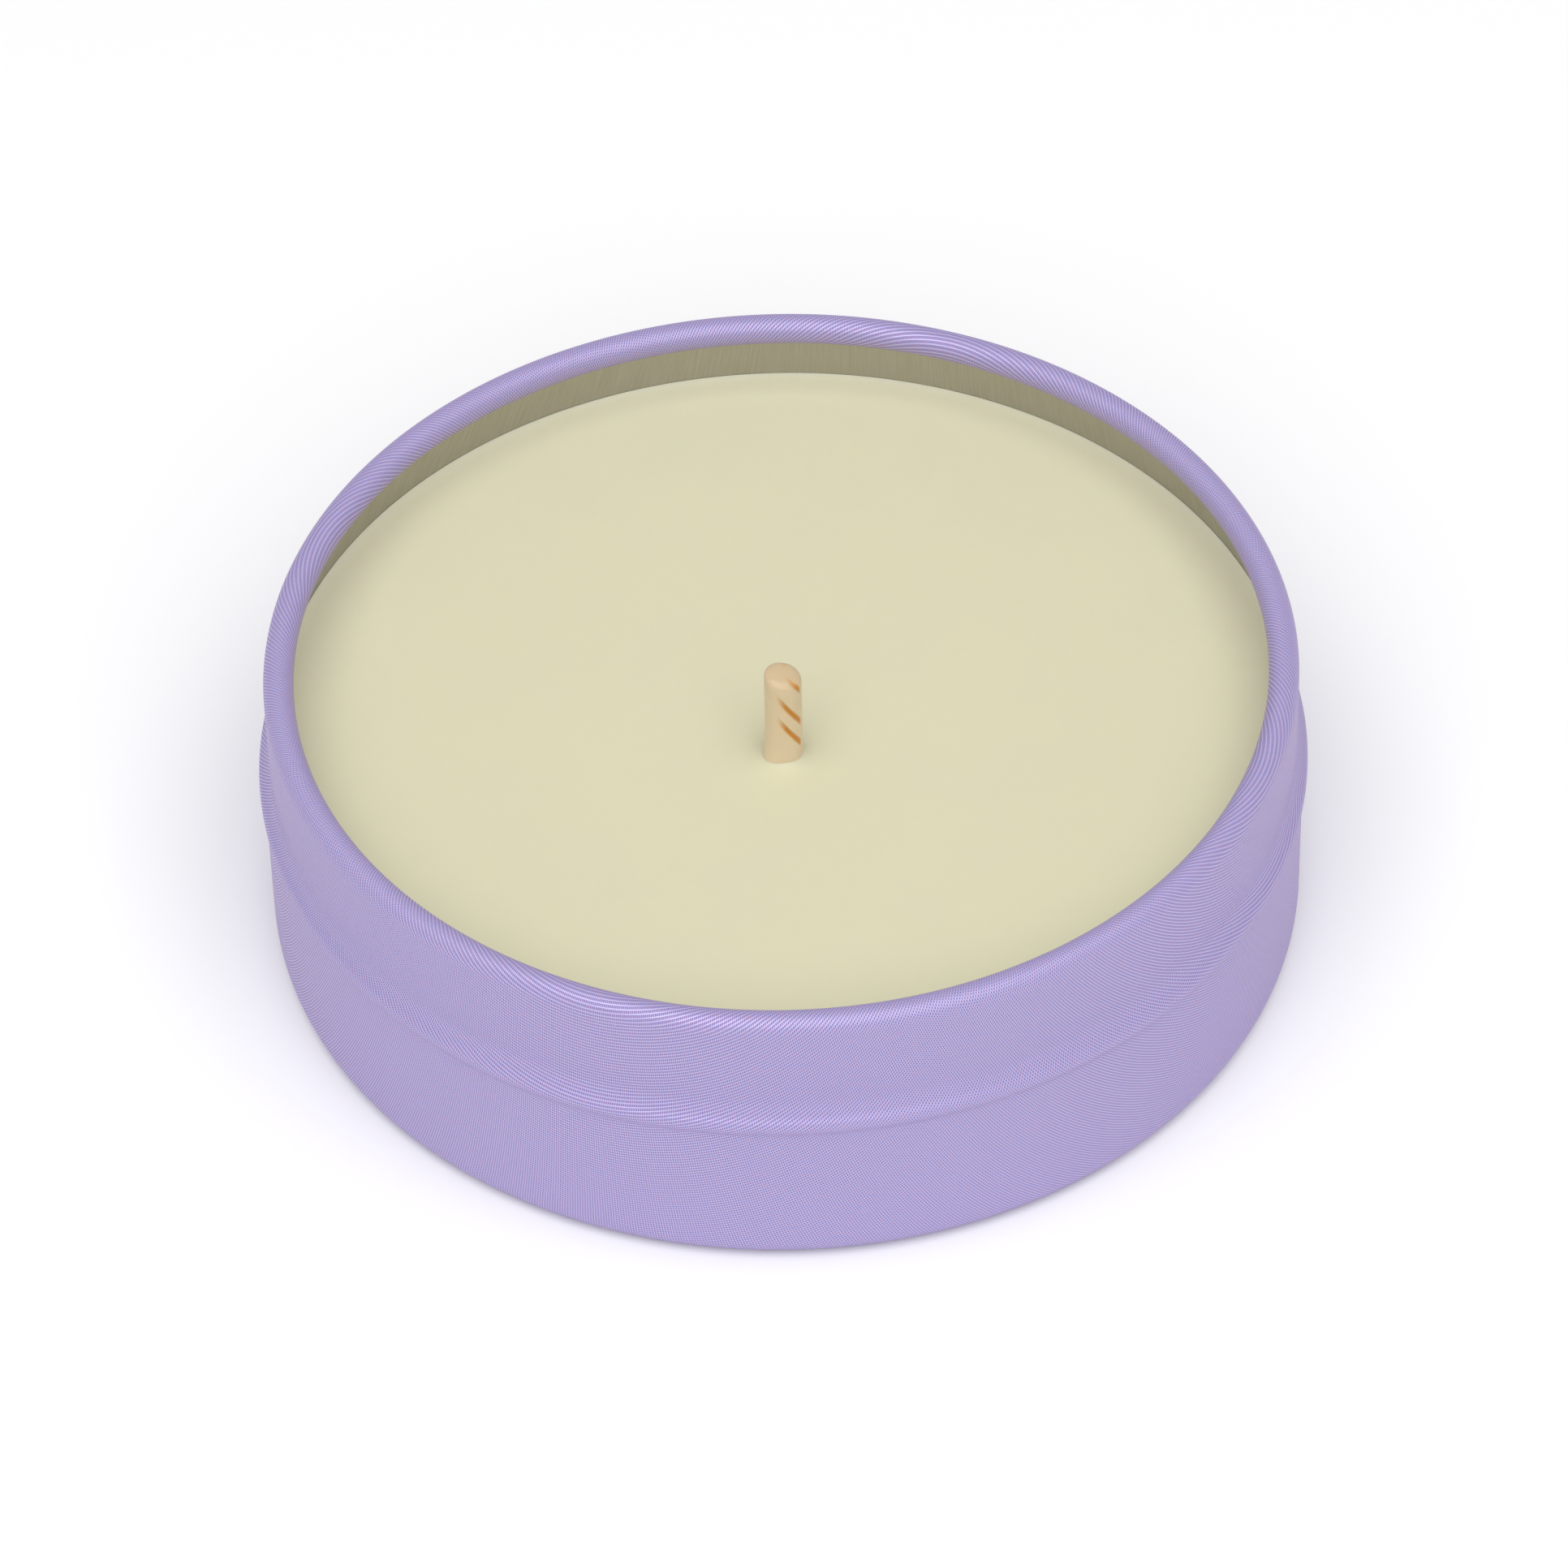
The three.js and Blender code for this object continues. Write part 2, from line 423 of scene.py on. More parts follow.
def stamped_steel(foot):
    """Thin bright steel strip, pressed to shape. Rolling leaves faint straight scratches."""
    made, tree = new_material("bright_steel_strip_stamped")
    place = add_node(tree, "ShaderNodeTexCoord").outputs["Object"]
    along = add_node(
        tree,
        "ShaderNodeMapping",
        Vector=place,
        Scale=(1 / foot.scratch_length, 1 / foot.scratch_width, 1 / foot.scratch_width),
    )
    grain = add_node(
        tree, "ShaderNodeTexNoise", Vector=along.outputs["Vector"], Scale=1.0, Detail=2.0
    )
    rough = add_node(
        tree, "ShaderNodeMapRange", Value=grain.outputs[0], To_Min=0.22, To_Max=0.4
    )
    metal = add_node(
        tree,
        "ShaderNodeBsdfPrincipled",
        Base_Color=foot.steel,
        Metallic=1.0,
        Roughness=rough.outputs[0],
    )
    finish_material(tree, metal.outputs[0])
    return made


def foam_sheet(foot):
    """Closed-cell foam, die-cut from sheet. The cut cells make a matt, finely pitted face."""
    made, tree = new_material("closed_cell_foam_die_cut")
    place = add_node(tree, "ShaderNodeTexCoord").outputs["Object"]
    cells = add_node(tree, "ShaderNodeTexVoronoi", Vector=place, Scale=1 / foot.cell_size)
    relief = add_node(
        tree,
        "ShaderNodeBump",
        Strength=0.7,
        Distance=0.05 * MM,
        Height=cells.outputs["Distance"],
    )
    matt = add_node(
        tree,
        "ShaderNodeBsdfPrincipled",
        Base_Color=foot.foam,
        Roughness=0.9,
        Normal=relief.outputs[0],
    )
    finish_material(tree, matt.outputs[0])
    return made


def studio_floor(stage):
    """Matt white paper."""
    made, tree = new_material("matt_white_paper")
    paper = add_node(
        tree, "ShaderNodeBsdfPrincipled", Base_Color=stage.paper, Roughness=0.9
    )
    finish_material(tree, paper.outputs[0])
    return made


# ---------------------------------------------------------------- shapes
def run(length, steps=1):
    """A straight leg of a walk: its length, its turn and its steps."""
    return length, 0.0, steps


def bend(radius, sweep, steps):
    """A round leg of a walk, to the left for a positive sweep."""
    return radius * abs(sweep), sweep, steps


def jog(along, across, steps, first=0.5):
    """Two bends, one each way, that move a walk left by across over a length along.

    The first bend's radius is a share, first, of both radii together.
    """
    radii = (along**2 + across**2) / (2 * abs(across))
    sweep = 2 * np.arctan2(across, along)
    return bend(radii * first, sweep, steps), bend(radii * (1 - first), -sweep, steps)


def walk(start, heading, legs):
    """The points of a walk through legs, each tangent to the last, and its left normals.

    A step of length s that turns by t moves along its chord, s sin(t/2) / (t/2), at the
    heading halfway through the turn.
    """
    lengths, turns, steps = (np.array(column) for column in zip(*legs))
    step_length = np.repeat(lengths / steps, steps)
    step_turn = np.repeat(turns / steps, steps)
    headings = heading + np.concatenate([[0.0], np.cumsum(step_turn)])
    halfway = (headings[:-1] + headings[1:]) / 2
    chord = step_length * np.sinc(step_turn / TAU)
    moves = np.column_stack([chord * np.cos(halfway), chord * np.sin(halfway)])
    points = np.vstack([start, start + np.cumsum(moves, axis=0)])
    return points, np.column_stack([-np.sin(headings), np.cos(headings)])


def tin_walk(tin):
    """The tin's outside face from the middle of its floor to the end of the rolled rim."""
    neck = TIN_BOX[1].x - tin.bead_standout
    body = neck + tin.body_step
    panel = body - tin.heel_radius - tin.ring_width - tin.panel_ramp
    body_height = TIN_BOX[1].z - tin.neck_depth - tin.bead_return - tin.heel_radius
    neck_height = tin.neck_depth - tin.bead_shoulder - tin.curl_radius
    legs = [
        run(panel, 3),
        *jog(tin.panel_ramp, -tin.panel_recess, 5),
        run(tin.ring_width),
        bend(tin.heel_radius, RIGHT_ANGLE, 12),
        run(body_height, 8),
        *jog(tin.bead_return, tin.body_step - tin.bead_standout, 8),
        *jog(tin.bead_shoulder, tin.bead_standout, 9, tin.bead_crest),
        run(neck_height, 6),
        bend(tin.curl_radius, tin.curl_sweep, 46),
    ]
    return walk((0.0, tin.panel_recess), 0.0, legs)


def around(centres, radii, heights, count):
    """Level rings about upright axes: centre + radius (cos a, sin a), at each height."""
    angle = np.arange(count) * TAU / count
    circle = np.column_stack([np.cos(angle), np.sin(angle)])
    rings = np.empty((len(radii), count, 3))
    rings[..., :2] = np.reshape(centres, (-1, 1, 2)) + np.reshape(radii, (-1, 1, 1)) * circle
    rings[..., 2] = np.reshape(heights, (-1, 1))
    return rings


def skin(rings, poles=()):
    """The vertices and faces of a closed skin over rings, [ring, place round it, xyz].

    Each ring is joined to the next by quads. Two poles close the ends with fans of
    triangles, and with no poles the last ring is joined to the first. Faces point to the
    right of a line that goes from ring to ring on the ring's +X side. The third result is
    the number of the ring that each face starts from.
    """
    ring_count, place_count = rings.shape[:2]
    index = np.arange(ring_count * place_count).reshape(ring_count, place_count)
    here = index if not poles else index[:-1]
    above = np.roll(index, -1, axis=0) if not poles else index[1:]
    corners = [here, np.roll(here, -1, axis=1), np.roll(above, -1, axis=1), above]
    faces = np.stack(corners, axis=-1).reshape(-1, 4).tolist()
    start_ring = np.repeat(np.arange(len(here)), place_count)
    vertices = rings.reshape(-1, 3)
    if poles:
        first = np.full(place_count, len(vertices))
        faces += np.column_stack([first, np.roll(index[0], -1), index[0]]).tolist()
        faces += np.column_stack([index[-1], np.roll(index[-1], -1), first + 1]).tolist()
        ends = np.repeat([0, ring_count - 1], place_count)
        start_ring = np.concatenate([start_ring, ends])
        vertices = np.vstack([vertices, poles])
    return vertices, faces, start_ring


def add_piece(name, vertices, faces, materials, nodes, material_index=None):
    """Makes a mesh object that rides on the part's one body and stands for its nodes."""
    mesh = bpy.data.meshes.new(name)
    mesh.from_pydata(vertices, [], faces)
    if mesh.validate():
        raise ValueError(f"{name} has faces that can't be used")
    for material in materials:
        mesh.materials.append(material)
    if material_index is not None:
        mesh.polygons.foreach_set("material_index", material_index.astype(np.int32))
    mesh.shade_smooth()
    mesh.set_sharp_from_angle(angle=SHARP_ANGLE)
    piece = bpy.data.objects.new(name, mesh)
    bpy.context.scene.collection.objects.link(piece)
    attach(piece, BODY)
    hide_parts(*nodes)
    return piece


def set_uv(mesh, name, places):
    """Gives the mesh a UV map, from one place for each vertex."""
    corner = np.empty(len(mesh.loops), np.int32)
    mesh.loops.foreach_get("vertex_index", corner)
    layer = mesh.uv_layers.new(name=name)
    layer.data.foreach_set("uv", places[corner].astype(np.float32).ravel())


def set_values(mesh, name, values):
    """Gives the mesh a number for each vertex, under a name that a material can read."""
    attribute = mesh.attributes.new(name, "FLOAT", "POINT")
    attribute.data.foreach_set("value", values.astype(np.float32).ravel())


# ---------------------------------------------------------------- pieces


def make_tin(tin):
    """The drawn shell: a walk along its outside face and back along its inside face.

    The inside is the outside moved by the sheet's thickness along the walk's normals. The
    sheet map lays each point where it was on the flat blank: drawing keeps the area inside
    a circle, so its radius there is S with S squared = 2 times the integral of r ds.
    """
    outside, left = tin_walk(tin)
    inside = outside + left * tin.sheet
    middle = (outside[1:, 0] + outside[:-1, 0]) / 2
    stride = np.linalg.norm(np.diff(outside, axis=0), axis=1)
    blank = np.sqrt(2 * np.concatenate([[0.0], np.cumsum(middle * stride)]))

    profile = np.vstack([outside[1:], inside[:0:-1]])
    rings = around(TIN_AXIS, profile[:, 0], profile[:, 1], ROUND_TIN)
    poles = [(0.0, 0.0, outside[0, 1]), (0.0, 0.0, inside[0, 1])]
    vertices, faces, start_ring = skin(rings, poles)
    last_outside = len(outside) - 2
    piece = add_piece(
        "tin_body_drawn",
        vertices,
        faces,
        [lacquered_tinplate(tin), bare_tinplate(tin)],
        ["tin_body"],
        start_ring >= last_outside,
    )
    sheet_radius = np.concatenate([blank[1:], blank[:0:-1]])
    flat = around(TIN_AXIS, sheet_radius, np.zeros(len(sheet_radius)), ROUND_TIN)
    places = np.vstack([flat.reshape(-1, 3)[:, :2], np.zeros((2, 2))])
    set_uv(piece.data, SHEET_MAP, places)
    return piece


def wax_rise(wax, places, wall):
    """How far the set wax stands above its own level at places [..., xy].

    It is the sum of three falls from an edge: a wide round dip about the wick as the wax
    shrank, a small cone of wax drawn up the wick, fuller on one side, and a thin rise where
    it wets the tin. Each is its height times exp(-distance / width), or its square.
    """
    from_wick = places - WICK_AXIS
    distance = np.linalg.norm(from_wick, axis=-1)
    bearing = np.arctan2(from_wick[..., 1], from_wick[..., 0])
    fuller = 1 + wax.cone_bias * np.cos(bearing - wax.cone_bearing)
    dip = -wax.dip_depth * np.exp(-((distance / wax.dip_width) ** 2))
    beyond = np.maximum(distance - wax.passage, 0)
    cone = wax.cone_height * np.exp(-beyond / (wax.cone_width * fuller))
    to_wall = np.maximum(wall - np.linalg.norm(places, axis=-1), 0)
    wetting = wax.wall_rise * np.exp(-to_wall / wax.wall_width)
    return dip + cone + wetting


def make_wax(tin, wax):
    """The poured wax: a stack of rings up the wick's passage, round the tab and the sticker,
    out along the floor, up the wall, and back over the top to the wick.

    Over the top each ring's centre slides from the tin's axis to the wick's.
    """
    level = WAX_BOX[1].z
    outside, left = tin_walk(tin)
    against = outside + left * (tin.sheet + wax.gap)
    # The floor's flat middle needs no rings of its own between the sticker and the side.
    side = against[(against[:, 1] < level) & (against[:, 0] > STICKER_BOX[1].x * 2)]
    neck = TIN_BOX[1].x - tin.bead_standout - tin.sheet - wax.gap

    tab_radius = TAB_BOX[1].x - WICK_AXIS[0] + wax.gap
    sticker_radius = STICKER_BOX[1].x - WICK_AXIS[0] + wax.gap
    sticker_top = STICKER_BOX[1].z + wax.gap
    tab_top = TAB_BOX[1].z + wax.gap
    tab_neck = wax.passage + wax.neck_room
    plate_top = TAB_BOX[0].z + wax.plate_room
    pocket = np.array(
        [
            (wax.passage, tab_top),
            (tab_neck, tab_top),
            (tab_neck, plate_top),
            (tab_radius, plate_top),
            (tab_radius, sticker_top),
            (sticker_radius, sticker_top),
            (sticker_radius, against[0, 1]),
        ]
    )
    share = np.linspace(0, 1, WAX_RINGS)
    # Rings crowd towards both edges of the top, where the wax curves most.
    eased = (1 - np.cos(np.pi * share**RING_CROWDING)) / 2
    top_radius = neck + (wax.passage - neck) * eased
    top_centre = WICK_AXIS * eased[:, None]
    top = around(top_centre, top_radius, np.full(len(share), level), ROUND_TIN)
    top[..., 2] += wax_rise(wax, top[..., :2], neck)
    rings = np.concatenate(
        [
            around(WICK_AXIS, pocket[:, 0], pocket[:, 1], ROUND_TIN),
            around(TIN_AXIS, side[:, 0], side[:, 1], ROUND_TIN),
            top,
        ]
    )
    vertices, faces, _ = skin(rings)
    piece = add_piece(
        "wax_fill_poured", vertices, faces, [poured_wax(wax)], ["wax_fill"]
    )
    # Painted light: how strongly the paler colour is painted on, dying away from the tin's wall.
    to_wall = neck - np.linalg.norm(vertices[:, :2], axis=-1)
    set_values(piece.data, PAINTED_WALL_LIGHT, np.exp(-np.maximum(to_wall, 0) / wax.painted_wall_light_width))
    return piece


def plait(wick, number, heights):
    """A strand's centre and its slope at each height: a figure of eight, seen from above,
    throw (sin t, sin 2t), with t going round once in each pitch."""
    turn = TAU * ((heights - WICK_BOX[0].z) / wick.pitch + number / STRAND_COUNT + wick.phase)
    centre = wick.throw * np.stack([np.sin(turn), np.sin(2 * turn)], axis=-1)
    rate = wick.throw * TAU / wick.pitch
    slope = rate * np.stack([np.cos(turn), 2 * np.cos(2 * turn)], axis=-1)
    return centre, slope


def make_strand(wick, number, material):
    """One strand of the plait, as level rings up its centre line.

    Cut level, a round cord that leans is an ellipse, longer by 1/cos(lean) along its lean.
    Its yarns stand up as lobes that turn as they climb: radius (1 + depth cos(n a - turn)).
    """
    heights = np.linspace(WICK_BOX[0].z, WICK_BOX[1].z - wick.coat_tip, STRAND_RINGS)
    centre, slope = plait(wick, number, heights)
    steepness = np.linalg.norm(slope, axis=-1, keepdims=True)
    lean = slope / steepness
    side = np.column_stack([lean[:, 1], -lean[:, 0]])
    angle = np.arange(ROUND_STRAND) * TAU / ROUND_STRAND
    yarn_turn = TAU * heights[:, None] / wick.yarn_pitch
    lobes = 1 + wick.yarn_depth * np.cos(wick.yarns * angle - yarn_turn)
    radius = (wick.strand_radius * lobes)[..., None]
    stretch = np.sqrt(1 + steepness**2)[:, None, :]
    rings = np.empty((len(heights), ROUND_STRAND, 3))
    rings[..., :2] = WICK_AXIS + centre[:, None, :] + radius * (
        np.cos(angle)[None, :, None] * side[:, None, :]
        + np.sin(angle)[None, :, None] * lean[:, None, :] * stretch
    )
    rings[..., 2] = heights[:, None]
    poles = [(*(WICK_AXIS + centre[end]), heights[end]) for end in (0, -1)]
    vertices, faces, _ = skin(rings, poles)
    return add_piece(
        f"wick_strand_{number + 1}_plaited",
        vertices,
        faces,
        [material],
        [f"wick_strand_{number + 1}"],
    )


def smooth(share):
    """0 below 0, 1 above 1, and 3 s squared - 2 s cubed between."""
    held = np.clip(share, 0, 1)
    return held * held * (3 - 2 * held)


def seams(wick, angle, climb):
    """How deep the seams between strands show in the coat, 0 to 1, at each angle and each
    climb above the wax.

    On both faces of the plait a seam climbs as it goes round, by seam_rise over seam_span.
    It is a flat-topped bell across, and it fades at its ends.
    """
    depth = np.zeros(climb.shape)
    for turn, starts in zip((0.0, np.pi), SEAM_STARTS):
        past = (angle - wick.seam_bearing - turn + np.pi) % TAU - np.pi
        along = -past / wick.seam_span
        # The first fade is centred on the seam's lower end.
        fade_in = smooth(along / SEAM_FADE_IN + 0.5)
        ends = fade_in * smooth((SEAM_END - along) / SEAM_FADE_OUT)
        for start in starts:
            off = climb - start * MM - wick.seam_rise * along
            depth += ends * np.exp(-((off / wick.seam_width) ** 4))
    return depth


def make_coat(wick, material):
    """The wax that the wick was dipped in: a thin shell over the plait, closed at the tip.

    Its section is half_width (|cos a|^p + |sin a|^p)^(-1/p), a circle when p is 2 and a
    little squarer above that. It flares at the foot on the side where more wax ran up, and
    ends in a rounded tip, (cos b, sin b) to the power 2/p, cut on a slant. Seams are pressed
    into it.
    """
    level = WAX_BOX[1].z
    tip = WICK_BOX[1].z
    angle = np.arange(ROUND_WICK) * TAU / ROUND_WICK
    ray = np.stack([np.cos(angle), np.sin(angle)], axis=-1)
    power = wick.coat_squareness
    section = wick.coat_half_width * (np.abs(ray) ** power).sum(axis=-1) ** (-1 / power)
    toward = np.cos(angle - wick.lean_bearing)
    high = np.cos(angle - wick.cut_bearing)

    up_wall = np.linspace(0, 1, COAT_RINGS)[:, None]
    up_dome = np.linspace(0, RIGHT_ANGLE, DOME_RINGS)[1:-1, None]
    shrink = np.vstack([np.ones_like(up_wall), np.cos(up_dome) ** (2 / wick.dome_squareness)])
    rise = np.sin(up_dome) ** (2 / wick.dome_squareness)
    foot = level - wick.coat_depth
    shoulder = tip - wick.dome_height
    cut = wick.cut_slant * (1 - shrink * high) / 2

    def shell(inset):
        """The rings of the coat from its foot to its tip, moved in by inset, and its seams."""
        top = tip - inset
        height = np.vstack(
            [foot + (shoulder - foot) * up_wall, shoulder + (top - shoulder) * rise]
        )
        height = height - cut * smooth((height - foot) / (shoulder - foot))
        climb = height - level
        fall = np.exp(-climb / wick.flare_height)
        flare = wick.flare_width * fall * np.maximum(toward, 0) ** 2
        seam = seams(wick, angle, climb) * shrink**2
        radius = (section + flare - inset - wick.seam_depth * seam) * shrink
        rings = np.empty((*height.shape, 3))
        rings[..., :2] = WICK_AXIS + radius[..., None] * ray
        rings[..., 2] = height
        return rings, seam, (*WICK_AXIS, top - wick.cut_slant / 2)

    outer, seam, outer_tip = shell(0)
    inner, inner_seam, inner_tip = shell(wick.coat_shell)
    # How far each ring is up the rounded tip, where the darker colour is painted on: painted shade.
    painted_tip_shade = smooth(np.vstack([np.zeros_like(up_wall), rise]) / wick.tip_fade)
    tip_shade_mask = np.repeat(painted_tip_shade, ROUND_WICK, axis=1)
    vertices, faces, _ = skin(np.concatenate([inner[::-1], outer]), [inner_tip, outer_tip])
    nodes = [f"wick_strand_{number + 1}" for number in range(STRAND_COUNT)]
    piece = add_piece("wick_wax_coat", vertices, faces, [material], nodes)
    values = np.concatenate([inner_seam[::-1].ravel(), seam.ravel(), [0, 0]])
    set_values(piece.data, SEAM, values)
    set_values(piece.data, TIP_SHADE, np.concatenate([tip_shade_mask[::-1].ravel(), tip_shade_mask.ravel(), [1, 1]]))
    return piece


def make_tab(foot):
    """The stamped tab: a round plate with a pressed step and a neck that grips the wick.

    A walk in along its underside and up its bore, and back down its upper face.
    """
    radius = TAB_BOX[1].x - WICK_AXIS[0]
    bore = foot.bore
    plate = radius - bore - foot.rim_width - foot.rib_ramp - foot.neck_bend
    neck = TAB_BOX[1].z - TAB_BOX[0].z - foot.rib - foot.neck_bend
    legs = [
        run(foot.rim_width, 2),
        *jog(foot.rib_ramp, -foot.rib, 5),
        run(plate, 2),
        bend(foot.neck_bend, -RIGHT_ANGLE, 10),
        run(neck, 3),
    ]
    under, left = walk((radius, TAB_BOX[0].z), np.pi, legs)
    upper = under - left * foot.steel_sheet
    profile = np.vstack([upper, under[::-1]])
    rings = around(WICK_AXIS, profile[:, 0], profile[:, 1], ROUND_FOOT)
    vertices, faces, _ = skin(rings)
    return add_piece(
        "wick_tab_stamped", vertices, faces, [stamped_steel(foot)], ["wick_tab"]
    )


def make_sticker(foot):
    """The die-cut foam dot: a walk round half its section, with a small round at each edge."""
    radius = STICKER_BOX[1].x - WICK_AXIS[0]
    bottom = STICKER_BOX[0].z
    edge = foot.foam_edge
    legs = [
        run(radius - edge, 4),
        bend(edge, RIGHT_ANGLE, 5),
        run(STICKER_BOX[1].z - bottom - 2 * edge, 2),
        bend(edge, RIGHT_ANGLE, 5),
        run(radius - edge, 4),
    ]
    section, _ = walk((0.0, bottom), 0.0, legs)
    rings = around(WICK_AXIS, section[1:-1, 0], section[1:-1, 1], ROUND_FOOT)
    poles = [(*WICK_AXIS, section[0, 1]), (*WICK_AXIS, section[-1, 1])]
    vertices, faces, _ = skin(rings, poles)
    return add_piece(
        "wick_sticker_die_cut", vertices, faces, [foam_sheet(foot)], ["wick_sticker"]
    )


# ---------------------------------------------------------------- stage


def make_floor(stage):
    """A flat square sheet of paper, a hair below the tin."""
    half = stage.floor_size / 2
    corners = [(-half, -half), (half, -half), (half, half), (-half, half)]
    mesh = bpy.data.meshes.new("studio_floor")
    mesh.from_pydata([(x, y, -stage.floor_drop) for x, y in corners], [], [(0, 1, 2, 3)])
    mesh.materials.append(studio_floor(stage))
    floor = bpy.data.objects.new("studio_floor", mesh)
    bpy.context.scene.collection.objects.link(floor)


def add_light(name, size, power, distance, azimuth, elevation):
    """A square soft light that faces the tin.

    It stands at a distance from it, at an azimuth round from the front and at an elevation.
    """
    data = bpy.data.lights.new(name, "AREA")
    data.size = size
    data.energy = power
    light = bpy.data.objects.new(name, data)
    bpy.context.scene.collection.objects.link(light)
    outward = Vector(
        (
            np.sin(azimuth) * np.cos(elevation),
            -np.cos(azimuth) * np.cos(elevation),
            np.sin(elevation),
        )
    )
    turn = outward.to_track_quat("Z", "Y").to_matrix().to_4x4()
    light.matrix_world = Matrix.Translation(outward * distance) @ turn


def add_camera(stage, tin):
    """A long lens in front of the tin, looking down at it, with a slight roll and tilt."""
    data = bpy.data.cameras.new("camera")
    data.lens = stage.lens
    data.sensor_width = stage.sensor
    data.clip_start = CLIP_START
    camera = bpy.data.objects.new("camera", data)
    bpy.context.scene.collection.objects.link(camera)
    rim = Vector((0, 0, TIN_BOX[1].z - tin.curl_radius))
    elevation = stage.camera_elevation
    place = rim + stage.camera_distance * Vector((0, -np.cos(elevation), np.sin(elevation)))
    look_down = Matrix.Rotation(RIGHT_ANGLE - elevation - stage.camera_tilt, 4, "X")
    roll = Matrix.Rotation(stage.camera_roll, 4, "Z")
    camera.matrix_world = Matrix.Translation(place) @ look_down @ roll
    bpy.context.scene.camera = camera


def set_world(stage):
    """A plain white surround."""
    world = bpy.data.worlds.new("white_studio")
    world.use_nodes = True
    world.node_tree.nodes.clear()
    light = add_node(
        world.node_tree, "ShaderNodeBackground", Color=(1, 1, 1, 1), Strength=stage.surround
    )
    output = add_node(world.node_tree, "ShaderNodeOutputWorld")
    world.node_tree.links.new(light.outputs[0], output.inputs["Surface"])
    bpy.context.scene.world = world
    bpy.context.scene.view_settings.view_transform = "Standard"


# ---------------------------------------------------------------- settings


def size_property(name, description, millimetres):
    """A length setting, given in millimetres and kept in metres."""
    return FloatProperty(
        name=name,
        description=description,
        default=millimetres * MM,
        min=0,
        precision=5,
        subtype="DISTANCE",
        unit="LENGTH",
    )


def angle_property(name, description, degrees):
    """An angle setting, given in degrees and kept in radians."""
    return FloatProperty(
        name=name, description=description, default=np.radians(degrees), subtype="ANGLE"
    )


def number_property(name, description, default):
    """A plain number setting."""
    return FloatProperty(name=name, description=description, default=default)


def colour_property(name, description, value):
    """A colour setting, given in sRGB hex and kept linear."""
    return FloatVectorProperty(
        name=name,
        description=description,
        default=linear(value),
        size=4,
        min=0,
        max=1,
        subtype="COLOR",
    )


class CandleTinSettings(bpy.types.PropertyGroup):
    """Sizes and colours of the drawn tin."""

    sheet: size_property("Sheet", "Thickness of the tinplate", 0.24)
    curl_radius: size_property("Curl radius", "Outside radius of the rolled rim's tube", 1.1)
    curl_sweep: angle_property("Curl sweep", "How far the rim is rolled inwards", 290)
    neck_depth: size_property("Neck depth", "Top of the rim down to the crest of the bead", 9.73)
    bead_standout: size_property("Bead standout", "Crest of the bead beyond the neck", 0.85)
    bead_shoulder: size_property("Bead shoulder", "Height of the bead's upper flank", 2.18)
    bead_crest: number_property("Bead crest", "Share of the upper flank that is its rounded crest", 0.25)
    bead_return: size_property("Bead return", "Height of the bead's lower flank", 1.15)
    body_step: size_property("Body step", "Body wall beyond the neck", 0.53)
    heel_radius: size_property("Heel radius", "Outside radius of the bend from wall to floor", 1.6)
    ring_width: size_property("Ring width", "Flat of the ring that the tin stands on", 1.2)
    panel_recess: size_property("Panel recess", "Floor panel above the standing ring", 0.6)
    panel_ramp: size_property("Panel ramp", "Width of the ramp between ring and panel", 1.5)
    screen_pitch: size_property("Screen pitch", "Lines of the coating's screen on the flat sheet", 0.207)
    screen_relief: size_property("Screen relief", "Height of the screen's lines", 0.022)
    screen_angle: angle_property("Screen angle", "Turn of the screen on the flat sheet", -22)
    rolling_angle: angle_property("Rolling angle", "Direction in which the sheet was rolled", 78)
    streak_length: size_property("Streak length", "Length of the bare face's streaks", 4.0)
    streak_width: size_property("Streak width", "Width of the bare face's streaks", 0.2)
    grain: size_property("Grain", "Size of the mottling between the screen's lines", 0.4)
    lacquer: colour_property("Lacquer", "Lavender between the screen's lines", "#7c76bc")
    blush: colour_property("Blush", "Where the lacquer is thicker", "#9a74ab")
    thread: colour_property("Thread", "Lavender of the screen's lines", "#bdb9e2")
    glint: colour_property("Glint", "Tint of the lacquer's gloss", "#ffdde6")
    bare_light: colour_property("Bare metal, light", "Bare face's bright streaks", "#c6c3ba")
    bare_dark: colour_property("Bare metal, dark", "Bare face's dark streaks", "#a09d90")


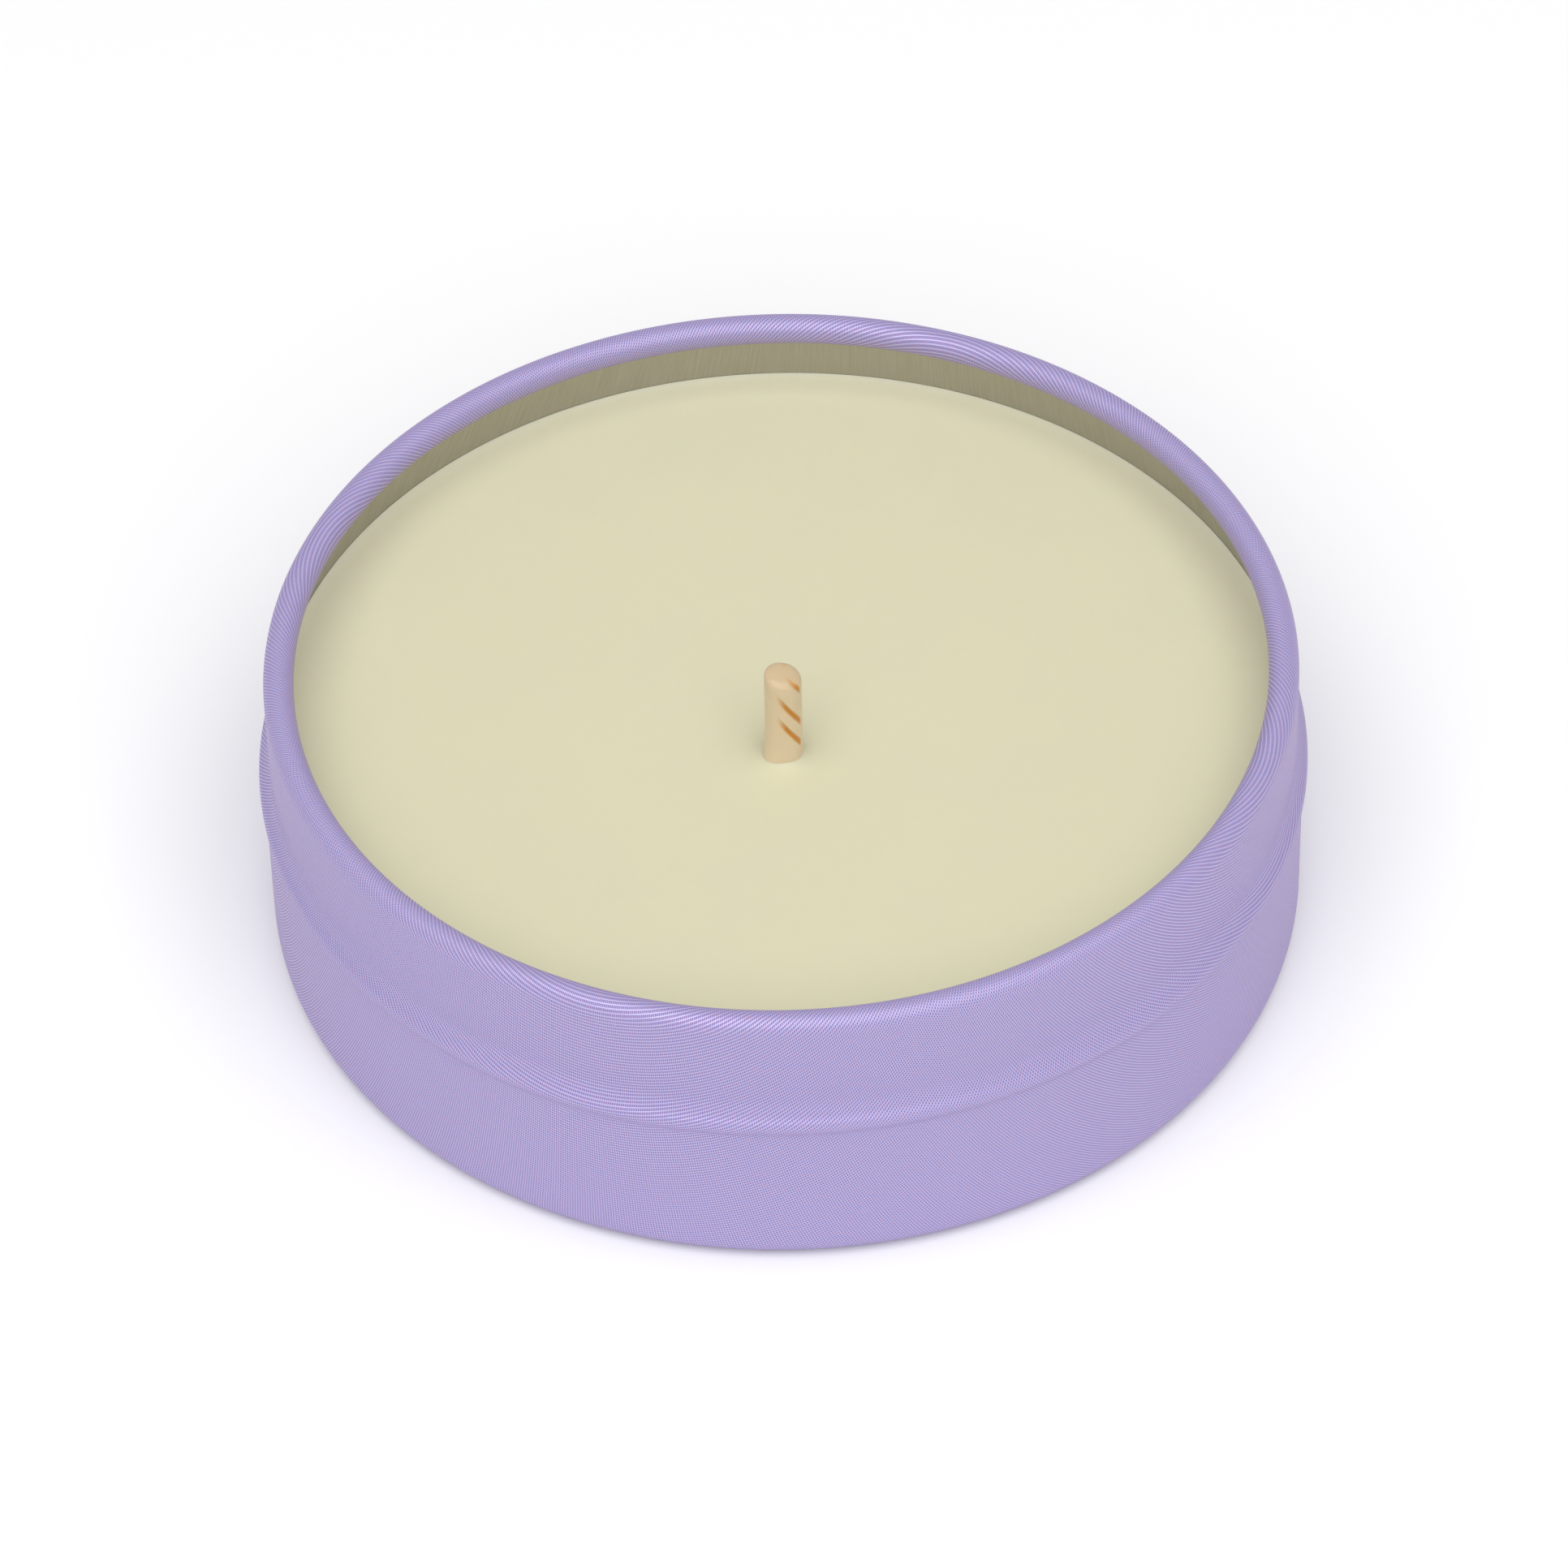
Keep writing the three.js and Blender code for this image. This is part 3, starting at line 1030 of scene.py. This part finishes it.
class CandleWaxSettings(bpy.types.PropertyGroup):
    """Shape and colours of the poured wax."""

    gap: size_property("Gap", "Between the wax and the tin", 0.02)
    passage: size_property("Passage", "Radius of the hole that the wick fills", 1.25)
    dip_depth: size_property("Dip depth", "Sink of the wax round the wick", 0.15)
    dip_width: size_property("Dip width", "Spread of the sink", 8.0)
    cone_height: size_property("Cone height", "Wax drawn up the wick", 0.6)
    cone_width: size_property("Cone width", "Spread of the wax drawn up the wick", 0.6)
    cone_bearing: angle_property("Cone bearing", "Side of the wick with more wax", -135)
    cone_bias: number_property("Cone bias", "How much more wax is on that side", 0.4)
    wall_rise: size_property("Wall rise", "Wax drawn up the tin", 0.25)
    wall_width: size_property("Wall width", "Spread of the wax drawn up the tin", 0.35)
    cloud_size: size_property("Cloud size", "Size of the faint clouds in the wax", 7.0)
    peel_size: size_property("Peel size", "Size of the orange peel on its skin", 0.5)
    neck_room: size_property("Neck room", "Pocket round the tab's neck, beyond the passage", 0.5)
    plate_room: size_property("Plate room", "Height of the pocket round the tab's plate", 0.8)
    cream: colour_property("Cream", "Main colour of the wax", "#d6d3b1")
    cloud: colour_property("Cloud", "Its faint clouds", "#d2ceb1")
    # Painted light: a paler colour painted on the wax near the tin, against the wall's shade.
    painted_wall_light: colour_property("Pale", "Wax that set against the tin", "#f0edcf")
    painted_wall_light_width: size_property("Pale width", "Width over which the pale wax dies away", 3.0)


class CandleWickSettings(bpy.types.PropertyGroup):
    """Shape and colours of the plaited wick and its coat of wax."""

    strand_radius: size_property("Strand radius", "Each of the plait's strands, without its wax", 0.36)
    throw: size_property("Throw", "How far a strand's centre swings from the wick's axis", 0.7)
    pitch: size_property("Pitch", "Length of wick in which a strand swings once round", 7.47)
    phase: number_property("Phase", "Turn of the plait at the wick's foot, of a whole pitch", 0.32)
    yarns: number_property("Yarns", "Yarns that show round a strand", 5)
    yarn_depth: number_property("Yarn depth", "Height of a yarn, of the strand's radius", 0.06)
    yarn_pitch: size_property("Yarn pitch", "Length in which a yarn goes once round its strand", 3.2)
    coat_half_width: size_property("Coat half width", "Wick's axis to a flat side of its coat", 1.36)
    coat_squareness: number_property("Coat squareness", "Power of its section; 2 is round", 2.1)
    coat_shell: size_property("Coat shell", "Thickness of the coat's shell", 0.1)
    coat_depth: size_property("Coat depth", "How far the coat goes down into the wax", 0.9)
    coat_tip: size_property("Coat tip", "Wax over the cut end of the strands", 1.5)
    lean_bearing: angle_property("Lean bearing", "Side on which more wax ran up the wick", 195)
    dome_height: size_property("Dome height", "Rounded tip of the coat", 0.8)
    dome_squareness: number_property("Dome squareness", "Power of its section; 2 is round", 3.0)
    cut_slant: size_property("Cut slant", "Fall of the tip from its high side to its low side", 0.6)
    cut_bearing: angle_property("Cut bearing", "High side of the tip", 150)
    tip_fade: number_property("Tip fade", "How far up the rounded tip the trimmed colour comes in", 0.9)
    flare_width: size_property("Flare width", "More wax at the foot on that side", 0.32)
    flare_height: size_property("Flare height", "Height over which the flare dies away", 1.7)
    seam_bearing: angle_property("Seam bearing", "Lower end of a seam", -28)
    seam_span: angle_property("Seam span", "How far a seam goes round the wick", 85)
    seam_rise: size_property("Seam rise", "Climb of a seam over its span", 3.1)
    seam_width: size_property("Seam width", "Half width of a seam, measured up the wick", 0.38)
    seam_depth: size_property("Seam depth", "How deep a seam is pressed into the coat", 0.07)
    blotch_size: size_property("Blotch size", "Size of the waxed cotton's blotches", 0.8)
    cotton: colour_property("Cotton", "Waxed cotton", "#eed6b6")
    cotton_shade: colour_property("Cotton shade", "Darker blotches of the waxed cotton", "#e8caa5")
    # Painted shade: a darker colour painted over the rounded tip, which faces the key light.
    painted_tip_shade: colour_property("Trimmed", "The tip, where the wick was cut", "#d0b590")
    # A deep amber colour laid along the seams between the strands.
    seam: colour_property("Seam", "Amber wax in the seams", "#cf8426")


class CandleFootSettings(bpy.types.PropertyGroup):
    """Sizes and colours of the wick's tab and its sticker."""

    steel_sheet: size_property("Steel sheet", "Thickness of the tab", 0.25)
    neck_bend: size_property("Neck bend", "Inside radius of the bend from plate to neck", 0.6)
    rib: size_property("Rib", "Height of the pressed step round the neck", 0.3)
    rib_ramp: size_property("Rib ramp", "Width of that step's ramp", 0.9)
    rim_width: size_property("Rim width", "Flat of the plate outside the step", 2.6)
    bore: size_property("Bore", "Inside radius of the neck", 1.57)
    foam_edge: size_property("Foam edge", "Rounding of the sticker's edges", 0.12)
    scratch_length: size_property("Scratch length", "Length of the steel's scratches", 4.0)
    scratch_width: size_property("Scratch width", "Width of the steel's scratches", 0.1)
    cell_size: size_property("Cell size", "Size of the foam's cut cells", 0.35)
    steel: colour_property("Steel", "Bright steel", "#b9bcc0")
    foam: colour_property("Foam", "White foam", "#eeeeea")


class CandleStageSettings(bpy.types.PropertyGroup):
    """The floor, the lights and the camera."""

    floor_size: size_property("Floor size", "Side of the paper floor", 4000)
    floor_drop: size_property("Floor drop", "Floor below the tin", 0.02)
    paper: colour_property("Paper", "Floor", "#f8f8f8")
    surround: number_property("Surround", "Strength of the white surround", 0.5)
    key_power: number_property("Key power", "Watts of the key light", 10.7)
    key_size: size_property("Key size", "Side of the key light", 1300)
    key_distance: size_property("Key distance", "Key light from the tin", 1000)
    key_azimuth: angle_property("Key azimuth", "Key light round from the front", 0)
    key_elevation: angle_property("Key elevation", "Key light above the floor", 63)
    lens: number_property("Lens", "Focal length in millimetres", 181.9)
    sensor: number_property("Sensor", "Sensor width in millimetres", 36)
    camera_distance: size_property("Camera distance", "Camera from the middle of the rim", 574)
    camera_elevation: angle_property("Camera elevation", "Camera above the rim", 43.825)
    camera_tilt: angle_property("Camera tilt", "Camera turned down past the middle of the rim", 0.886)
    camera_roll: angle_property("Camera roll", "Camera turned about its own line of sight", -1.48)


# ---------------------------------------------------------------- operators and panel


class CANDLE_OT_tin(bpy.types.Operator):
    """Make the drawn tin"""

    bl_idname = "candle.tin"
    bl_label = "Drawn Tin"

    def execute(self, context):
        make_tin(context.scene.candle_tin)
        return {"FINISHED"}


class CANDLE_OT_wax(bpy.types.Operator):
    """Make the poured wax"""

    bl_idname = "candle.wax"
    bl_label = "Poured Wax"

    def execute(self, context):
        make_wax(context.scene.candle_tin, context.scene.candle_wax)
        return {"FINISHED"}


class CANDLE_OT_wick(bpy.types.Operator):
    """Make the wick's three strands and its coat of wax"""

    bl_idname = "candle.wick"
    bl_label = "Plaited Wick"

    def execute(self, context):
        wick = context.scene.candle_wick
        material = primed_cotton(wick)
        for number in range(STRAND_COUNT):
            make_strand(wick, number, material)
        make_coat(wick, material)
        return {"FINISHED"}


class CANDLE_OT_foot(bpy.types.Operator):
    """Make the tab and the sticker that hold the wick"""

    bl_idname = "candle.foot"
    bl_label = "Wick Tab and Sticker"

    def execute(self, context):
        make_tab(context.scene.candle_foot)
        make_sticker(context.scene.candle_foot)
        return {"FINISHED"}


class CANDLE_OT_stage(bpy.types.Operator):
    """Make the floor, the surround, the lights and the camera"""

    bl_idname = "candle.stage"
    bl_label = "Stage"

    def execute(self, context):
        stage = context.scene.candle_stage
        make_floor(stage)
        set_world(stage)
        add_light(
            "key_softbox",
            stage.key_size,
            stage.key_power,
            stage.key_distance,
            stage.key_azimuth,
            stage.key_elevation,
        )
        add_camera(stage, context.scene.candle_tin)
        return {"FINISHED"}


OPERATORS = (CANDLE_OT_tin, CANDLE_OT_wax, CANDLE_OT_wick, CANDLE_OT_foot, CANDLE_OT_stage)
SETTINGS = {
    "candle_tin": CandleTinSettings,
    "candle_wax": CandleWaxSettings,
    "candle_wick": CandleWickSettings,
    "candle_foot": CandleFootSettings,
    "candle_stage": CandleStageSettings,
}


class CANDLE_PT_pieces(bpy.types.Panel):
    """Lists the pieces of the candle and their sizes and colours"""

    bl_idname = "CANDLE_PT_pieces"
    bl_label = "Candle Tin"
    bl_space_type = "VIEW_3D"
    bl_region_type = "UI"
    bl_category = "Candle"

    def draw(self, context):
        for operator, (group_name, group) in zip(OPERATORS, SETTINGS.items()):
            box = self.layout.box()
            box.operator(operator.bl_idname)
            for name in group.__annotations__:
                box.prop(getattr(context.scene, group_name), name)


def register():
    """Registers the settings, the operators and the panel."""
    for group in SETTINGS.values():
        bpy.utils.register_class(group)
    for group_name, group in SETTINGS.items():
        setattr(bpy.types.Scene, group_name, PointerProperty(type=group))
    for operator in OPERATORS:
        bpy.utils.register_class(operator)
    bpy.utils.register_class(CANDLE_PT_pieces)


def unregister():
    """Takes away what register added, in reverse."""
    bpy.utils.unregister_class(CANDLE_PT_pieces)
    for operator in reversed(OPERATORS):
        bpy.utils.unregister_class(operator)
    for group_name in SETTINGS:
        delattr(bpy.types.Scene, group_name)
    for group in SETTINGS.values():
        bpy.utils.unregister_class(group)


def main():
    """Makes every piece and the stage once."""
    register()
    bpy.ops.candle.tin()
    bpy.ops.candle.wax()
    bpy.ops.candle.wick()
    bpy.ops.candle.foot()
    bpy.ops.candle.stage()


if __name__ == "__main__":
    main()
